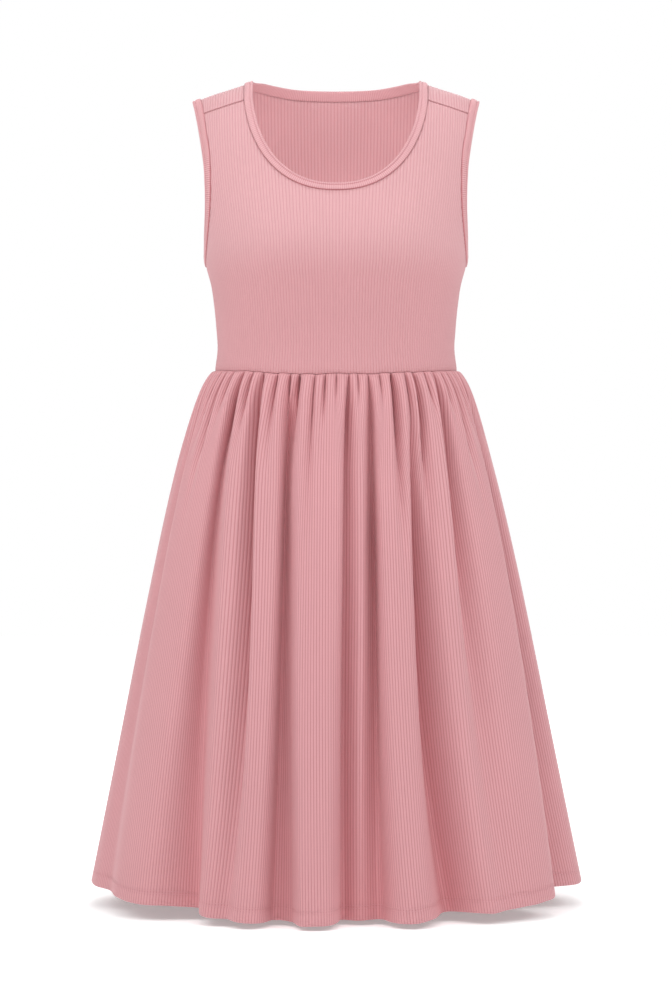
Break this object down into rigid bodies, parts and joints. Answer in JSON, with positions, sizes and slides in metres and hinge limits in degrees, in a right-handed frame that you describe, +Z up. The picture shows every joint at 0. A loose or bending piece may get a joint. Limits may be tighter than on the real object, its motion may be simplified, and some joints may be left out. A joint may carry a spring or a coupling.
{
  "type": "a-line dress",
  "caption": "Sleeveless rib-knit dress in its worn hollow form: scoop neck and armholes bound in rib, high waist seam, long gathered skirt flaring to a plain turned hem.",
  "frame": {"origin": "midway between the tops of the two shoulders, where the wearer's shoulders hold the dress", "axes": "+Z up; the wearer faces -Y; the wearer's left is +X"},
  "size_m": [0.5748, 0.4102, 0.9667],
  "materials": {
    "rib_knit": "matt dusty pink rib knit",
    "rib_binding": "matt dusty pink rib knit, folded double"
  },
  "bodies": {
    "root": {"bodice_front": "rib_knit", "bodice_back": "rib_knit", "skirt_front": "rib_knit", "skirt_back": "rib_knit", "neckband": "rib_binding", "armhole_binding_left": "rib_binding", "armhole_binding_right": "rib_binding"}
  },
  "joints": []
}
